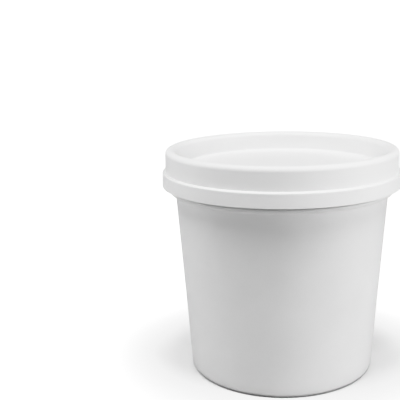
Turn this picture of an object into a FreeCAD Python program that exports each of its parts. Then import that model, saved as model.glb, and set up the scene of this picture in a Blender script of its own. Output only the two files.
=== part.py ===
"""Round paper food tub with its press-on lid, closed, in millimetres.

The tub is one wrapped sheet of coated board: a tapered wall with a lapped side seam, a foot
folded in around a raised bottom, a stop bead under the lid and a rolled rim inside it.  It is
shut, so it is solid up to just under the lid.  The lid is one moulding: a skirt in two bands,
a round crown that caps the rolled rim, and a flat panel sunk inside it for stacking.

Frame: +Z is up along the axis of the tub, and the origin is on the floor in the middle of the
foot.  The side seam is at the back, on +Y.
"""
import FreeCAD
import Part
import Sketcher
import os

# Driving sizes, in millimetres; the seam's angle is in degrees.
SIZES = {
    # tub wall
    "tub_height": 96.0,       # floor to the top of the rolled rim
    "base_radius": 40.3,      # outside of the wall at the floor
    "mouth_radius": 46.65,    # outside of the wall, carried up to the top of the rim
    "board": 0.5,             # thickness of the wall's board
    "rim_roll": 2.15,         # diameter of the rolled rim
    # foot
    "foot_wall": 1.7,         # board folded round the edge of the bottom
    "foot_round": 1.0,        # outer edge of the foot
    "foot_inner_round": 0.3,  # inner edge of the foot
    "bottom_rise": 5.0,       # floor to the underside of the bottom
    # stop bead round the tub
    "bead_gap": 1.2,          # lid's lower edge down to the bead
    "bead_height": 1.6,
    "bead_reach": 2.3,        # how far the bead stands out of the wall
    "bead_round": 0.6,        # both outer edges of the bead
    # lapped side seam
    "seam_angle": 11.0,
    "seam_step": 0.35,        # how far the outer lap stands out of the wall
    # lid
    "lid_wall": 0.9,
    "seat_gap": 0.1,          # top of the rim up to the inside of the crown
    "band_gap": 0.2,          # rim out to the inside of the upper band
    "plug_gap": 0.25,         # wall in to the outside of the well
    "content_gap": 0.3,       # contents up to the lid's panel
    "lid_height": 15.4,       # crown down to the lower edge of the skirt
    "upper_band": 9.1,        # crown down to the ledge between the bands
    "band_flare": 0.25,       # how much the upper band widens downwards
    "ledge": 1.2,             # how far the lower band stands out of the upper one
    "ledge_rise": 0.35,       # how much the ledge climbs inwards to shed water
    "skirt_flare": 0.2,       # how much the lower band widens downwards
    "well_depth": 8.4,        # crown down to the panel
    "well_taper": 1.2,        # how much the well narrows downwards
    "crown_round": 1.9,       # outer edge of the crown
    "crown_inner_round": 2.0, # edge between the crown and the well
    "crown_under_round": 0.8, # both of these edges on the underside
    "ledge_round": 0.4,       # both edges of the ledge
    "hem_round": 0.3,         # both edges of the skirt's lower end
    "hem_share": 0.47,        # the most of the wall that either of those rounds may take
    "well_round": 0.8,        # corner between the well and the panel
}

ORIGIN_POINT = (-1, 1)
HORIZONTAL_AXIS = -1
VERTICAL_AXIS = -2
MATCH = 1e-4                  # how closely an edge is matched to its circle
MM3_PER_CM3 = 1000


# ---- heights and radii worked out from the driving sizes, as expressions on the sheet ----

def size(name):
    return "sizes." + name


def wall_radius(height):
    """Outside of the tapered wall at a height."""
    slope = "(sizes.mouth_radius - sizes.base_radius) / sizes.tub_height"
    return f"(sizes.base_radius + {slope} * ({height}))"


def inner_wall_radius(height):
    return f"({wall_radius(height)} - sizes.board)"


RIM_HEIGHT = "(sizes.tub_height - sizes.rim_roll / 2)"
RIM_RADIUS = f"({inner_wall_radius(RIM_HEIGHT)} + sizes.rim_roll / 2)"

CROWN_UNDERSIDE = "(sizes.tub_height + sizes.seat_gap)"
LID_TOP = f"({CROWN_UNDERSIDE} + sizes.lid_wall)"
LID_BOTTOM = f"({LID_TOP} - sizes.lid_height)"
LEDGE_TOP = f"({LID_TOP} - sizes.upper_band)"
LEDGE_ROOT = f"({LEDGE_TOP} + sizes.ledge_rise)"
LEDGE_UNDERSIDE = f"({LEDGE_TOP} - sizes.lid_wall)"
LEDGE_ROOT_UNDERSIDE = f"({LEDGE_ROOT} - sizes.lid_wall)"
PANEL_TOP = f"({LID_TOP} - sizes.well_depth)"
PANEL_UNDERSIDE = f"({PANEL_TOP} - sizes.lid_wall)"
CONTENT_TOP = f"({PANEL_UNDERSIDE} - sizes.content_gap)"

BAND_TOP_INSIDE = f"({RIM_RADIUS} + sizes.rim_roll / 2 + sizes.band_gap)"
BAND_TOP = f"({BAND_TOP_INSIDE} + sizes.lid_wall)"
BAND_BOTTOM_INSIDE = f"({BAND_TOP_INSIDE} + sizes.band_flare)"
BAND_BOTTOM = f"({BAND_TOP} + sizes.band_flare)"
LEDGE_EDGE = f"({BAND_BOTTOM} + sizes.ledge)"
LEDGE_EDGE_INSIDE = f"({LEDGE_EDGE} - sizes.lid_wall)"
HEM = f"({LEDGE_EDGE} + sizes.skirt_flare)"
HEM_INSIDE = f"({HEM} - sizes.lid_wall)"
WELL_MOUTH_OUTSIDE = f"({inner_wall_radius(RIM_HEIGHT)} - sizes.plug_gap)"
WELL_MOUTH = f"({WELL_MOUTH_OUTSIDE} - sizes.lid_wall)"
PANEL_RADIUS = f"({WELL_MOUTH} - sizes.well_taper)"
PLUG_RADIUS = f"({PANEL_RADIUS} + sizes.lid_wall)"
HEM_ROUND = "min(sizes.hem_round; sizes.hem_share * sizes.lid_wall)"

BEAD_TOP = f"({LID_BOTTOM} - sizes.bead_gap)"
BEAD_BOTTOM = f"({BEAD_TOP} - sizes.bead_height)"
BEAD_MIDDLE = f"({BEAD_TOP} - sizes.bead_height / 2)"
BEAD_RADIUS = f"({wall_radius(BEAD_MIDDLE)} + sizes.bead_reach)"


# ---- making a turned piece ----

def make_sheet(doc):
    sheet = doc.addObject("Spreadsheet::Sheet", "sizes")
    for row, (name, value) in enumerate(SIZES.items(), start=1):
        sheet.set(f"A{row}", name)
        sheet.set(f"B{row}", str(value))
        sheet.setAlias(f"B{row}", name)
    doc.recompute()
    return sheet


def new_sketch(body, name, role):
    """A sketch on one of the body's own origin planes: across is the radius, up is the height."""
    plane = next(item for item in body.Origin.OriginFeatures if item.Role == role)
    sketch = body.newObject("Sketcher::SketchObject", name)
    sketch.AttachmentSupport = [(plane, "")]
    sketch.MapMode = "FlatFace"
    return sketch


def pin_point(sketch, point, radius, height):
    """Hold a sketch point at a radius and a height, each an expression on the sheet."""
    for kind, axis, distance in (("X", VERTICAL_AXIS, radius), ("Y", HORIZONTAL_AXIS, height)):
        if distance == "0":
            sketch.addConstraint(Sketcher.Constraint("PointOnObject", *point, axis))
            continue
        value = float(sketch.evalExpression(distance))
        rule = Sketcher.Constraint("Distance" + kind, *ORIGIN_POINT, *point, value)
        index = sketch.addConstraint(rule)
        sketch.setExpression(f"Constraints[{index}]", distance)


def draw_section(body, name, corners, role="XZ_Plane"):
    """A closed outline of straight sides through corners, each a radius and a height."""
    sketch = new_sketch(body, name, role)
    places = [
        FreeCAD.Vector(*(float(sketch.evalExpression(part)) for part in corner), 0)
        for corner in corners
    ]
    count = len(corners)
    for i in range(count):
        sketch.addGeometry(Part.LineSegment(places[i], places[(i + 1) % count]), False)
    for i in range(count):
        sketch.addConstraint(Sketcher.Constraint("Coincident", i, 2, (i + 1) % count, 1))
    for i, (radius, height) in enumerate(corners):
        pin_point(sketch, (i, 1), radius, height)
    return sketch


def draw_ring_section(body, name, radius, height, diameter):
    """A round section, for a rolled edge."""
    sketch = new_sketch(body, name, "XZ_Plane")
    middle = FreeCAD.Vector(*(float(sketch.evalExpression(part)) for part in (radius, height)), 0)
    across = float(sketch.evalExpression(diameter))
    upright = FreeCAD.Vector(0, 0, 1)
    sketch.addGeometry(Part.Circle(middle, upright, across / 2), False)
    pin_point(sketch, (0, 3), radius, height)
    index = sketch.addConstraint(Sketcher.Constraint("Diameter", 0, across))
    sketch.setExpression(f"Constraints[{index}]", diameter)
    return sketch


def turn(body, kind, name, sketch, angle="360"):
    """Turn a section about the upright axis: kind is Revolution to add, Groove to cut."""
    feature = body.newObject("PartDesign::" + kind, name)
    feature.Profile = sketch
    feature.ReferenceAxis = (sketch, ["V_Axis"])
    feature.Midplane = True
    feature.setExpression("Angle", angle)
    body.Document.recompute()
    return feature


def round_edges(body, name, circles, radius):
    """Round the level circular edges given as pairs of radius and height."""
    base = body.Tip
    wanted = [[float(base.evalExpression(part)) for part in circle] for circle in circles]
    edges = []
    for number, edge in enumerate(base.Shape.Edges, start=1):
        if not isinstance(edge.Curve, Part.Circle):
            continue
        found = (edge.Curve.Radius, edge.Curve.Center.z)
        if any(max(abs(a - b) for a, b in zip(found, circle)) < MATCH for circle in wanted):
            edges.append(f"Edge{number}")
    if len(edges) != len(circles):
        raise RuntimeError(f"{name} found {len(edges)} edges of {len(circles)}")
    fillet = body.newObject("PartDesign::Fillet", name)
    fillet.Base = (base, edges)
    fillet.setExpression("Radius", radius)
    body.Document.recompute()
    return fillet


# ---- the tub ----

def make_tub(doc):
    """Tapered wall, solid up to under the lid, with its foot, rim, stop bead and side seam."""
    body = doc.addObject("PartDesign::Body", "tub")
    wall = draw_section(body, "wall_section", [
        ("0", "0"),
        (wall_radius("0"), "0"),
        (wall_radius(RIM_HEIGHT), RIM_HEIGHT),
        (inner_wall_radius(RIM_HEIGHT), RIM_HEIGHT),
        (inner_wall_radius(CONTENT_TOP), CONTENT_TOP),
        ("0", CONTENT_TOP),
    ])
    turn(body, "Revolution", "wall", wall)

    foot_inside = f"({wall_radius('0')} - sizes.foot_wall)"
    bottom_edge = f"({wall_radius(size('bottom_rise'))} - sizes.foot_wall)"
    hollow = draw_section(body, "foot_section", [
        ("0", "0"),
        (foot_inside, "0"),
        (bottom_edge, size("bottom_rise")),
        ("0", size("bottom_rise")),
    ])
    filled = body.Shape.Volume
    turn(body, "Groove", "foot", hollow)
    if body.Shape.Volume >= filled:
        raise RuntimeError("the foot was not hollowed")
    round_edges(body, "foot_fold", [(wall_radius("0"), "0")], size("foot_round"))
    round_edges(body, "foot_inner_fold", [(foot_inside, "0")], size("foot_inner_round"))

    roll = draw_ring_section(body, "rim_section", RIM_RADIUS, RIM_HEIGHT, size("rim_roll"))
    turn(body, "Revolution", "rolled_rim", roll)

    bead = draw_section(body, "bead_section", [
        (inner_wall_radius(BEAD_BOTTOM), BEAD_BOTTOM),
        (BEAD_RADIUS, BEAD_BOTTOM),
        (BEAD_RADIUS, BEAD_TOP),
        (inner_wall_radius(BEAD_TOP), BEAD_TOP),
    ])
    turn(body, "Revolution", "stop_bead", bead)
    bead_edges = [(BEAD_RADIUS, BEAD_BOTTOM), (BEAD_RADIUS, BEAD_TOP)]
    round_edges(body, "bead_edges", bead_edges, size("bead_round"))

    foot_top = size("foot_round")
    seam = draw_section(body, "seam_section", [
        (inner_wall_radius(foot_top), foot_top),
        (f"({wall_radius(foot_top)} + sizes.seam_step)", foot_top),
        (f"({wall_radius(BEAD_MIDDLE)} + sizes.seam_step)", BEAD_MIDDLE),
        (inner_wall_radius(BEAD_MIDDLE), BEAD_MIDDLE),
    ], role="YZ_Plane")
    turn(body, "Revolution", "side_seam", seam, size("seam_angle"))
    return body


# ---- the lid ----

def make_lid(doc):
    """One thin moulding that caps the rolled rim, with its stacking well."""
    body = doc.addObject("PartDesign::Body", "lid")
    section = draw_section(body, "lid_section", [
        (HEM, LID_BOTTOM),
        (LEDGE_EDGE, LEDGE_TOP),
        (BAND_BOTTOM, LEDGE_ROOT),
        (BAND_TOP, LID_TOP),
        (WELL_MOUTH, LID_TOP),
        (PANEL_RADIUS, PANEL_TOP),
        ("0", PANEL_TOP),
        ("0", PANEL_UNDERSIDE),
        (PLUG_RADIUS, PANEL_UNDERSIDE),
        (WELL_MOUTH_OUTSIDE, CROWN_UNDERSIDE),
        (BAND_TOP_INSIDE, CROWN_UNDERSIDE),
        (BAND_BOTTOM_INSIDE, LEDGE_ROOT_UNDERSIDE),
        (LEDGE_EDGE_INSIDE, LEDGE_UNDERSIDE),
        (HEM_INSIDE, LID_BOTTOM),
    ])
    turn(body, "Revolution", "lid_moulding", section)
    round_edges(body, "crown_outer_edge", [(BAND_TOP, LID_TOP)], size("crown_round"))
    round_edges(body, "crown_inner_edge", [(WELL_MOUTH, LID_TOP)], size("crown_inner_round"))
    under_edges = [(WELL_MOUTH_OUTSIDE, CROWN_UNDERSIDE), (BAND_TOP_INSIDE, CROWN_UNDERSIDE)]
    round_edges(body, "crown_under_edges", under_edges, size("crown_under_round"))
    ledge_edges = [(LEDGE_EDGE, LEDGE_TOP), (BAND_BOTTOM, LEDGE_ROOT)]
    round_edges(body, "ledge_edges", ledge_edges, size("ledge_round"))
    hem_edges = [(HEM, LID_BOTTOM), (HEM_INSIDE, LID_BOTTOM)]
    round_edges(body, "hem_edges", hem_edges, HEM_ROUND)
    well_edges = [(PANEL_RADIUS, PANEL_TOP), (PLUG_RADIUS, PANEL_UNDERSIDE)]
    round_edges(body, "well_edges", well_edges, size("well_round"))
    return body


def check_document(doc):
    for item in doc.Objects:
        if "Invalid" in item.State or "Error" in item.State:
            raise RuntimeError(f"{item.Label} failed: {item.State}")


def write_piece(piece):
    shape = piece.Shape
    if shape.isNull() or not shape.isValid() or len(shape.Solids) != 1:
        raise RuntimeError(f"{piece.Label} is not one valid solid")
    shape.exportStep(os.path.join("parts", piece.Label + ".step"))
    print(f"{piece.Label}: {shape.Volume / MM3_PER_CM3:.2f} cm3")


doc = FreeCAD.newDocument("food_tub")
make_sheet(doc)
pieces = [make_tub(doc), make_lid(doc)]
doc.recompute()
check_document(doc)
os.makedirs("parts", exist_ok=True)
for piece in pieces:
    write_piece(piece)
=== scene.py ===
"""A shut paper food tub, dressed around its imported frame.

Everything is in metres, in the frame of the construction: +Z up along the axis of the tub, the
foot on the floor, and the side seam of the board at the back, on +Y.
"""
import math

import bmesh
import bpy
from mathutils import Matrix, Vector


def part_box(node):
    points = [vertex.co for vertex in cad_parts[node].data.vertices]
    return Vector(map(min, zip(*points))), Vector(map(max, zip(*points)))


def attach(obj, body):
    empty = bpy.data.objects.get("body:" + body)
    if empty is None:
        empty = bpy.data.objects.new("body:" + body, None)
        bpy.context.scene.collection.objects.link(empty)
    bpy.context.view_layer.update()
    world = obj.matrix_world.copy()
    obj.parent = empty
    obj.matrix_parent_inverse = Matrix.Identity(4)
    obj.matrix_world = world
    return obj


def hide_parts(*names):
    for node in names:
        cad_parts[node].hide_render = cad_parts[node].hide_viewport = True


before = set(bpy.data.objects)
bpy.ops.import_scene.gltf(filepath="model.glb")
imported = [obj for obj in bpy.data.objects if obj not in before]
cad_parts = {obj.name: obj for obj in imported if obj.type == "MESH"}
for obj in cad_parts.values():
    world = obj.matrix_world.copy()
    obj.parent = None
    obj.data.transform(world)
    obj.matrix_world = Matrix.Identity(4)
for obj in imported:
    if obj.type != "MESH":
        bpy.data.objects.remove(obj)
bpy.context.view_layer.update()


# ============================== the tub ==============================
# One blank of white coated board, wrapped into a cone and heat-sealed where its ends lap at the
# back.  Its lower edge is folded in round a raised bottom and crimped to it, a stop bead is
# pressed out under the lid, and its upper edge is rolled outwards into the rim.

MM = 0.001
TURN_STEPS = 192
ROUND_STEPS = 5
SUPPORT = 0.3 * MM

tub_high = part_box("tub")[1]
lid_low, lid_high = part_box("lid")
board = 0.5 * MM
base_radius = 40.3 * MM
mouth_flare = 6.35 * MM
wall_lean = mouth_flare / tub_high.z
rim_roll = 2.15 * MM
rim_height = tub_high.z - rim_roll / 2
roll_round = rim_roll * 0.45
foot_wall = 1.7 * MM
foot_edge = base_radius - foot_wall
foot_round = 1.35 * MM
foot_inner_round = 0.3 * MM
fold_round = 0.15 * MM
crimp_top = 4.3 * MM
bottom_rise = 5.0 * MM
bead_gap = 0.9 * MM
bead_height = 1.9 * MM
bead_reach = 2.3 * MM
bead_round = 0.65 * MM
bead_top = lid_low.z - bead_gap
bead_bottom = bead_top - bead_height
fill_depth = 9.6 * MM
fill_top = lid_high.z - fill_depth


def wall_at(height):
    """Outside radius of the tapered wall."""
    return base_radius + wall_lean * height


def draw_outline(corners):
    """A line in the XZ plane through corners, each a radius, a height and how much it is rounded."""
    bm = bmesh.new()
    points = [bm.verts.new((radius, 0, height)) for radius, height, rounding in corners]
    for start, end in zip(points, points[1:]):
        bm.edges.new((start, end))
    for point, (radius, height, rounding) in zip(points, corners):
        if rounding:
            bmesh.ops.bevel(
                bm, geom=[point], offset=rounding, offset_type="OFFSET", segments=ROUND_STEPS,
                profile=0.5, affect="VERTICES", clamp_overlap=True, material=-1,
            )
    return bm


def turn_outline(bm):
    """Turn the line once round the upright axis into a skin that faces outwards."""
    bmesh.ops.spin(
        bm, geom=bm.verts[:] + bm.edges[:], cent=(0, 0, 0), axis=(0, 0, 1),
        angle=math.tau, steps=TURN_STEPS, use_merge=True, use_duplicate=False,
    )
    bmesh.ops.remove_doubles(bm, verts=bm.verts[:], dist=0.002 * MM)
    bmesh.ops.recalc_face_normals(bm, faces=bm.faces[:])


def add_level_loops(bm, heights):
    """Level loops round the skin, which keep a rounded edge's shading off the long face by it."""
    for height in heights:
        bmesh.ops.bisect_plane(
            bm, geom=bm.verts[:] + bm.edges[:] + bm.faces[:], dist=0.0001 * MM,
            plane_co=(0, 0, height), plane_no=(0, 0, 1),
        )


def ring_flat_face(bm, height):
    """A ring just inside a flat round face at a height, for the same reason."""
    flat = [face for face in bm.faces if all(abs(v.co.z - height) < 0.01 * MM for v in face.verts)]
    bmesh.ops.inset_region(bm, faces=flat, thickness=SUPPORT, depth=0, use_even_offset=True)


def finish_piece(bm, name, material):
    """Make the skin a smooth shaded piece in one material."""
    mesh = bpy.data.meshes.new(name)
    bm.to_mesh(mesh)
    bm.free()
    mesh.polygons.foreach_set("use_smooth", [True] * len(mesh.polygons))
    mesh.materials.append(material)
    piece = bpy.data.objects.new(name, mesh)
    bpy.context.scene.collection.objects.link(piece)
    return piece


rim_middle = wall_at(rim_height) - board + rim_roll / 2
bead_edge = wall_at((bead_top + bead_bottom) / 2) + bead_reach

tub_skin = draw_outline([
    (0, bottom_rise, 0),
    (foot_edge + board, bottom_rise, board),
    (foot_edge + board, crimp_top, 0),
    (foot_edge, crimp_top, fold_round),
    (foot_edge, 0, foot_inner_round),
    (base_radius, 0, foot_round),
    (wall_at(bead_bottom), bead_bottom, fold_round),
    (bead_edge, bead_bottom, bead_round),
    (bead_edge, bead_top, bead_round),
    (wall_at(bead_top), bead_top, fold_round),
    (wall_at(tub_high.z - rim_roll), tub_high.z - rim_roll, 0),
    (rim_middle + rim_roll / 2, tub_high.z - rim_roll, roll_round),
    (rim_middle + rim_roll / 2, tub_high.z, roll_round),
    (rim_middle - rim_roll / 2, tub_high.z, roll_round),
    (wall_at(fill_top) - board, fill_top, 0),
    (0, fill_top, 0),
])
turn_outline(tub_skin)
crimp_low = 0.8 * MM
crimp_high = crimp_top - 0.5 * MM
seam_low = foot_round + SUPPORT
seam_high = bead_bottom - SUPPORT
seam_end = lid_low.z + 2 * MM
add_level_loops(tub_skin, [crimp_low, crimp_high, seam_low, seam_high, seam_end])

# The crimping wheel leaves fine upright ribs round the inside of the foot.
crimp_depth = 0.12 * MM
crimp_turn = math.tau / TURN_STEPS
for vert in tub_skin.verts:
    radius = vert.co.xy.length
    between = crimp_low - SUPPORT < vert.co.z < crimp_high + SUPPORT
    if between and abs(radius - foot_edge) < 0.02 * MM:
        if round(math.atan2(vert.co.y, vert.co.x) / crimp_turn) % 2:
            vert.co.xy *= (radius + crimp_depth) / radius

# The lap: its cut edge is a crisp step, and its other side rises softly over the board inside.
# It runs out under the lid.
seam_step = 0.35 * MM
seam_middle = math.radians(90)
seam_half = math.radians(5.5)
cut_edge = (seam_middle + seam_half - math.radians(0.15), seam_middle + seam_half)
soft_edge = [seam_middle - seam_half + math.radians(turn) for turn in (0, 0.8, 1.6, 2.4)]
for turn in (*cut_edge, *soft_edge):
    back = [face for face in tub_skin.faces if face.calc_center_median().y > 0]
    parts = {part for face in back for part in (face, *face.edges, *face.verts)}
    bmesh.ops.bisect_plane(
        tub_skin, geom=list(parts), dist=0.0001 * MM, plane_co=(0, 0, 0),
        plane_no=(-math.sin(turn), math.cos(turn), 0),
    )
for vert in tub_skin.verts:
    radius = vert.co.xy.length
    outside = radius > wall_at(vert.co.z) - 0.05 * MM
    if not (outside and foot_round / 2 < vert.co.z < lid_low.z):
        continue
    turn = math.atan2(vert.co.y, vert.co.x)
    if cut_edge[0] + 0.001 < turn or turn < soft_edge[0]:
        continue
    rise = min((turn - soft_edge[0]) / (soft_edge[-1] - soft_edge[0]), 1)
    vert.co.xy *= (radius + seam_step * rise * rise * (3 - 2 * rise)) / radius
for edge in tub_skin.edges:
    turns = [math.atan2(vert.co.y, vert.co.x) for vert in edge.verts]
    if any(all(abs(turn - cut) < 0.0001 for turn in turns) for cut in cut_edge):
        edge.smooth = False

# Surface of the board and the plastic: slow clouds, and a fine grain drawn out upright.
grain_group = bpy.data.node_groups.new("surface_grain", "ShaderNodeTree")
for name in ("Cloud Scale", "Grain Scale"):
    grain_group.interface.new_socket(name, in_out="INPUT", socket_type="NodeSocketFloat")
stretch_socket = grain_group.interface.new_socket(
    "Stretch", in_out="INPUT", socket_type="NodeSocketVector")
for name in ("Cloud", "Grain"):
    grain_group.interface.new_socket(name, in_out="OUTPUT", socket_type="NodeSocketFloat")
group_in = grain_group.nodes.new("NodeGroupInput")
group_out = grain_group.nodes.new("NodeGroupOutput")
position = grain_group.nodes.new("ShaderNodeTexCoord")
drawn = grain_group.nodes.new("ShaderNodeVectorMath")
drawn.operation = "MULTIPLY"
cloud = grain_group.nodes.new("ShaderNodeTexNoise")
cloud.inputs["Detail"].default_value = 3
grain = grain_group.nodes.new("ShaderNodeTexNoise")
grain.inputs["Detail"].default_value = 4
grain.inputs["Roughness"].default_value = 0.65
for start, end in (
    (position.outputs["Object"], drawn.inputs[0]),
    (group_in.outputs["Stretch"], drawn.inputs[1]),
    (position.outputs["Object"], cloud.inputs["Vector"]),
    (group_in.outputs["Cloud Scale"], cloud.inputs["Scale"]),
    (drawn.outputs["Vector"], grain.inputs["Vector"]),
    (group_in.outputs["Grain Scale"], grain.inputs["Scale"]),
    (cloud.outputs["Fac"], group_out.inputs["Cloud"]),
    (grain.outputs["Fac"], group_out.inputs["Grain"]),
):
    grain_group.links.new(start, end)


def make_white(name, dark, light, gloss, specular, clouds, grains, stretch, wave, tooth):
    """A white finish: two near whites in clouds, a roughness range, slow waves and a fine tooth."""
    material = bpy.data.materials.new(name)
    material.use_nodes = True
    nodes, links = material.node_tree.nodes, material.node_tree.links
    shader = nodes["Principled BSDF"]
    shader.inputs["Specular IOR Level"].default_value = specular
    surface = nodes.new("ShaderNodeGroup")
    surface.node_tree = grain_group
    surface.inputs["Cloud Scale"].default_value = clouds
    surface.inputs["Grain Scale"].default_value = grains
    surface.inputs["Stretch"].default_value = stretch
    shade = nodes.new("ShaderNodeMix")
    shade.data_type = "RGBA"
    shade.inputs["A"].default_value = (*dark, 1)
    shade.inputs["B"].default_value = (*light, 1)
    mottle = nodes.new("ShaderNodeMath")
    mottle.operation = "ADD"
    mottle.use_clamp = True
    share = nodes.new("ShaderNodeMath")
    share.operation = "MULTIPLY"
    share.inputs[1].default_value = 0.5
    polish = nodes.new("ShaderNodeMapRange")
    polish.inputs["From Min"].default_value = 0.35
    polish.inputs["From Max"].default_value = 0.65
    polish.inputs["To Min"].default_value = gloss[0]
    polish.inputs["To Max"].default_value = gloss[1]
    waves = nodes.new("ShaderNodeBump")
    waves.inputs["Distance"].default_value = wave
    fine = nodes.new("ShaderNodeBump")
    fine.inputs["Distance"].default_value = tooth
    for start, end in (
        (surface.outputs["Grain"], share.inputs[0]),
        (share.outputs["Value"], mottle.inputs[0]),
        (surface.outputs["Cloud"], mottle.inputs[1]),
        (mottle.outputs["Value"], shade.inputs["Factor"]),
        (shade.outputs["Result"], shader.inputs["Base Color"]),
        (surface.outputs["Grain"], polish.inputs["Value"]),
        (polish.outputs["Result"], shader.inputs["Roughness"]),
        (surface.outputs["Cloud"], waves.inputs["Height"]),
        (surface.outputs["Grain"], fine.inputs["Height"]),
        (waves.outputs["Normal"], fine.inputs["Normal"]),
        (fine.outputs["Normal"], shader.inputs["Normal"]),
    ):
        links.new(start, end)
    return material


board_white = make_white(
    "coated_board", (0.80, 0.80, 0.80), (0.87, 0.87, 0.87), gloss=(0.36, 0.5), specular=0.45,
    clouds=45, grains=2200, stretch=(1, 1, 0.35), wave=0.04 * MM, tooth=0.006 * MM,
)
board_tub = finish_piece(tub_skin, "board_tub", board_white)
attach(board_tub, "root")
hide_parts("tub")


# ============================== the lid ==============================
# One thin moulding of white plastic.  Its crown caps the rolled rim, its skirt drops in two
# bands with a ledge between them, and its flat panel is sunk so that the next tub stacks on it.
# It is pressed down over the rim and only grips it.

lid_wall = 0.9 * MM
skirt_flare = 0.2 * MM
ledge = 1.2 * MM
ledge_rise = 0.05 * MM
ledge_under_rise = 0.35 * MM
band_height = 9.4 * MM
band_flare = 0.25 * MM
crown_width = 4.4 * MM
well_taper = 1.2 * MM
well_depth = 8.4 * MM
crown_round = 1.9 * MM
crown_inner_round = 2.0 * MM
crown_under_round = 0.8 * MM
ledge_round = 0.55 * MM
ledge_root_round = 0.2 * MM
hem_round = 0.15 * MM
well_round = 0.8 * MM

hem = lid_high.x
ledge_edge = hem - skirt_flare
band_bottom = ledge_edge - ledge
band_top = band_bottom - band_flare
ledge_top = lid_high.z - band_height
ledge_root = ledge_top + ledge_rise
ledge_under = ledge_top - lid_wall
well_mouth = band_top - crown_width
panel_radius = well_mouth - well_taper
panel_top = lid_high.z - well_depth
crown_under = lid_high.z - lid_wall

lid_skin = draw_outline([
    (0, panel_top, 0),
    (panel_radius, panel_top, well_round),
    (well_mouth, lid_high.z, crown_inner_round),
    (band_top, lid_high.z, crown_round),
    (band_bottom, ledge_root, ledge_root_round),
    (ledge_edge, ledge_top, ledge_round),
    (hem, lid_low.z, hem_round),
    (hem - lid_wall, lid_low.z, hem_round),
    (ledge_edge - lid_wall, ledge_under, 0),
    (band_bottom - lid_wall, ledge_under + ledge_under_rise, 0),
    (band_top - lid_wall, crown_under, crown_under_round),
    (well_mouth + lid_wall, crown_under, crown_under_round),
    (panel_radius + lid_wall, panel_top - lid_wall, well_round),
    (0, panel_top - lid_wall, 0),
])
turn_outline(lid_skin)
add_level_loops(lid_skin, [
    lid_low.z + hem_round + SUPPORT,
    ledge_top - ledge_round - SUPPORT,
    ledge_root + SUPPORT,
    lid_high.z - crown_round - SUPPORT,
])
ring_flat_face(lid_skin, panel_top)
lid_white = make_white(
    "lid_plastic", (0.85, 0.85, 0.85), (0.89, 0.89, 0.89), gloss=(0.46, 0.6), specular=0.3,
    clouds=30, grains=1500, stretch=(1, 1, 1), wave=0.05 * MM, tooth=0.004 * MM,
)
press_on_lid = finish_piece(lid_skin, "press_on_lid", lid_white)
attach(press_on_lid, "root")
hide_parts("lid")


# ============================== the studio ==============================
# A round sweep of pale paper, the same from every side, with two soft boxes overhead, three to the
# right and two to the left.  To the camera the paper is brighter away from the tub, by a painted
# glow that washes out the cast shadows there.

sweep_reach = 1.7
sweep_round = 0.35
sweep_top = (1.8, 0.6)
sweep_skin = draw_outline([(0, 0, 0), (sweep_reach, 0, sweep_round), (*sweep_top, 0)])
turn_outline(sweep_skin)
sweep_paper = make_white(
    "studio_paper", (0.92, 0.92, 0.92), (0.95, 0.95, 0.95), gloss=(0.85, 0.95), specular=0.1,
    clouds=8, grains=600, stretch=(1, 1, 1), wave=0.0, tooth=0.01 * MM,
)
studio_sweep = finish_piece(sweep_skin, "studio_sweep", sweep_paper)

# The camera sees the paper white, with a painted glow that grows away from the tub.  All other
# rays meet a paper that throws back only as much light as a grey one, and less still close beside
# the foot, a painted shade under the foot's edge.
paper_nodes, paper_links = sweep_paper.node_tree.nodes, sweep_paper.node_tree.links
white_paper = paper_nodes["Principled BSDF"]
from_middle = paper_nodes.new("ShaderNodeVectorMath")
from_middle.operation = "LENGTH"
paper_place = paper_nodes.new("ShaderNodeTexCoord")
# Painted light: the paper glows to the camera, more the further it lies from the tub, so the cast
# shadows there fade out.
painted_glow = paper_nodes.new("ShaderNodeMapRange")
painted_glow.interpolation_type = "SMOOTHSTEP"
painted_glow.inputs["From Min"].default_value = 0.04
painted_glow.inputs["From Max"].default_value = 0.11
painted_glow.inputs["To Min"].default_value = 0.0
painted_glow.inputs["To Max"].default_value = 1.7
white_paper.inputs["Emission Color"].default_value = (1, 1, 1, 1)
grey_paper = paper_nodes.new("ShaderNodeBsdfDiffuse")
# Painted shade: the light the paper throws back darkens close beside the foot, so the foot's edge
# sits in shade.
painted_foot_shade = paper_nodes.new("ShaderNodeMapRange")
painted_foot_shade.interpolation_type = "SMOOTHSTEP"
painted_foot_shade.inputs["From Min"].default_value = base_radius
painted_foot_shade.inputs["From Max"].default_value = base_radius + 2.5 * MM
painted_foot_shade.inputs["To Min"].default_value = 0.03
painted_foot_shade.inputs["To Max"].default_value = 0.55
ray = paper_nodes.new("ShaderNodeLightPath")
choice = paper_nodes.new("ShaderNodeMixShader")
for start, end in (
    (paper_place.outputs["Object"], from_middle.inputs[0]),
    (from_middle.outputs["Value"], painted_glow.inputs["Value"]),
    (painted_glow.outputs["Result"], white_paper.inputs["Emission Strength"]),
    (from_middle.outputs["Value"], painted_foot_shade.inputs["Value"]),
    (painted_foot_shade.outputs["Result"], grey_paper.inputs["Color"]),
    (ray.outputs["Is Camera Ray"], choice.inputs["Fac"]),
    (grey_paper.outputs["BSDF"], choice.inputs[1]),
    (white_paper.outputs["BSDF"], choice.inputs[2]),
    (choice.outputs["Shader"], paper_nodes["Material Output"].inputs["Surface"]),
):
    paper_links.new(start, end)

room = bpy.data.worlds.new("room")
bpy.context.scene.world = room
room.use_nodes = True
room.node_tree.nodes["Background"].inputs["Color"].default_value = (1, 1, 1, 1)
room.node_tree.nodes["Background"].inputs["Strength"].default_value = 0.02


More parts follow.
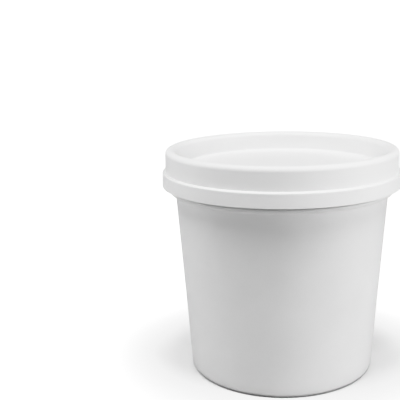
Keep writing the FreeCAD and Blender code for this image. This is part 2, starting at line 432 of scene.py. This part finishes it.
def hang_softbox(name, place, size, power):
    """A square soft box that points at the middle of the tub."""
    data = bpy.data.lights.new(name, "AREA")
    data.shape = "SQUARE"
    data.size = size
    data.energy = power
    softbox = bpy.data.objects.new(name, data)
    softbox.location = place
    aim = Vector((0, 0, 0.05)) - softbox.location
    softbox.rotation_euler = aim.to_track_quat("-Z", "Y").to_euler()
    softbox.visible_camera = False
    bpy.context.scene.collection.objects.link(softbox)


hang_softbox("overhead_right", (0.4, -0.35, 1.2), 0.5, 7.0)
hang_softbox("overhead_left", (-0.4, -0.35, 1.2), 0.5, 8.0)
hang_softbox("right", (1.1, -0.1, 0.1), 0.18, 3.0)
hang_softbox("right_front", (0.9, -0.6, 0.6), 0.6, 2.4)
hang_softbox("right_front_low", (0.9, -0.6, 0.1), 0.18, 1.0)
hang_softbox("left", (-1.1, 0.1, 0.45), 0.7, 3.4)
hang_softbox("left_low", (-1.1, 0.1, 0.1), 0.18, 1.05)

camera_data = bpy.data.cameras.new("studio_camera")
camera_data.lens = 67.345
camera_data.shift_x = -0.1
camera_data.shift_y = 0.0675
camera = bpy.data.objects.new("studio_camera", camera_data)
camera_back = 316.8 * MM
camera_rise = 48.92 * MM
camera.location = (0, -camera_back, lid_high.z + camera_rise)
pan = Matrix.Rotation(math.radians(3.27), 3, "Z")
tilt = Matrix.Rotation(math.radians(90 - 14.92), 3, "X")
roll = Matrix.Rotation(math.radians(-0.80), 3, "Z")
camera.rotation_euler = (pan @ tilt @ roll).to_euler()
bpy.context.scene.collection.objects.link(camera)
bpy.context.scene.camera = camera
view = bpy.context.scene.view_settings
view.view_transform = "Standard"

# The brightest whites are held back a little, so that the lid still shows its edges.
view.use_curve_mapping = True
whites = view.curve_mapping
whites.use_clip = False
shoulder = whites.curves[3]
shoulder.points[0].location = (0, 0)
shoulder.points[1].location = (1.5, 1)
for bright, shown in ((0.4, 0.4), (0.75, 0.75), (0.95, 0.87), (1.2, 0.94)):
    shoulder.points.new(bright, shown)
whites.update()
